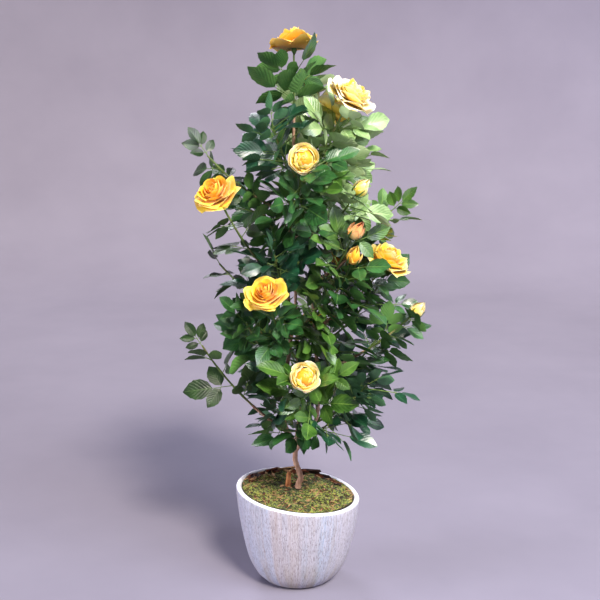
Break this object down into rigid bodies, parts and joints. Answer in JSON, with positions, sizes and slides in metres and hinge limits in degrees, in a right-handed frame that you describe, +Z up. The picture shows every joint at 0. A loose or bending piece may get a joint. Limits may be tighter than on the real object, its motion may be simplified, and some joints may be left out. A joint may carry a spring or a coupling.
{
  "type": "artificial rose bush in a pot",
  "caption": "Artificial rose bush on slim wooden stems, with glossy leaf sprays, yellow roses and buds, standing in a whitewashed round pot topped with moss.",
  "frame": {"origin": "centre of the pot's flat underside", "axes": "+Z up along the pot's axis, +X to the right and -Y towards a viewer in front of the bush"},
  "size_m": [0.5274, 0.3749, 1.0995],
  "materials": {
    "pot": "matte",
    "moss": "matte",
    "wood": "matte",
    "foliage": "satin"
  },
  "bodies": {
    "root": {"pot": "pot", "moss": "moss", "stub": "wood", "trunk": "wood", "stem_right": "wood", "stem_back": "wood", "bough_bud_far": "wood", "bough_left_low": "wood", "bough_left_middle": "wood", "bough_left_rose": "wood", "bough_left_top": "wood", "bough_right_middle": "wood", "bough_right_rose": "wood", "spray_back_1": "foliage", "spray_back_10": "foliage", "spray_back_2": "foliage", "spray_back_3": "foliage", "spray_back_4": "foliage", "spray_back_5": "foliage", "spray_back_6": "foliage", "spray_back_7": "foliage", "spray_back_8": "foliage", "spray_back_9": "foliage", "spray_bud_far": "foliage", "spray_bud_inner": "foliage", "spray_bud_middle": "foliage", "spray_bud_upper": "foliage", "spray_core_1": "foliage", "spray_core_10": "foliage", "spray_core_11": "foliage", "spray_core_12": "foliage", "spray_core_2": "foliage", "spray_core_3": "foliage", "spray_core_4": "foliage", "spray_core_5": "foliage", "spray_core_6": "foliage", "spray_core_7": "foliage", "spray_core_8": "foliage", "spray_core_9": "foliage", "spray_front_foot": "foliage", "spray_heart": "foliage", "spray_left_foot": "foliage", "spray_left_inner": "foliage", "spray_left_low": "foliage", "spray_left_middle": "foliage", "spray_left_rose": "foliage", "spray_left_top": "foliage", "spray_low_rose": "foliage", "spray_middle_rose": "foliage", "spray_right_foot": "foliage", "spray_right_inner": "foliage", "spray_right_low": "foliage", "spray_right_lower": "foliage", "spray_right_middle": "foliage", "spray_right_rose": "foliage", "spray_right_top": "foliage", "spray_top": "foliage", "spray_upper_right": "foliage"}
  },
  "joints": []
}
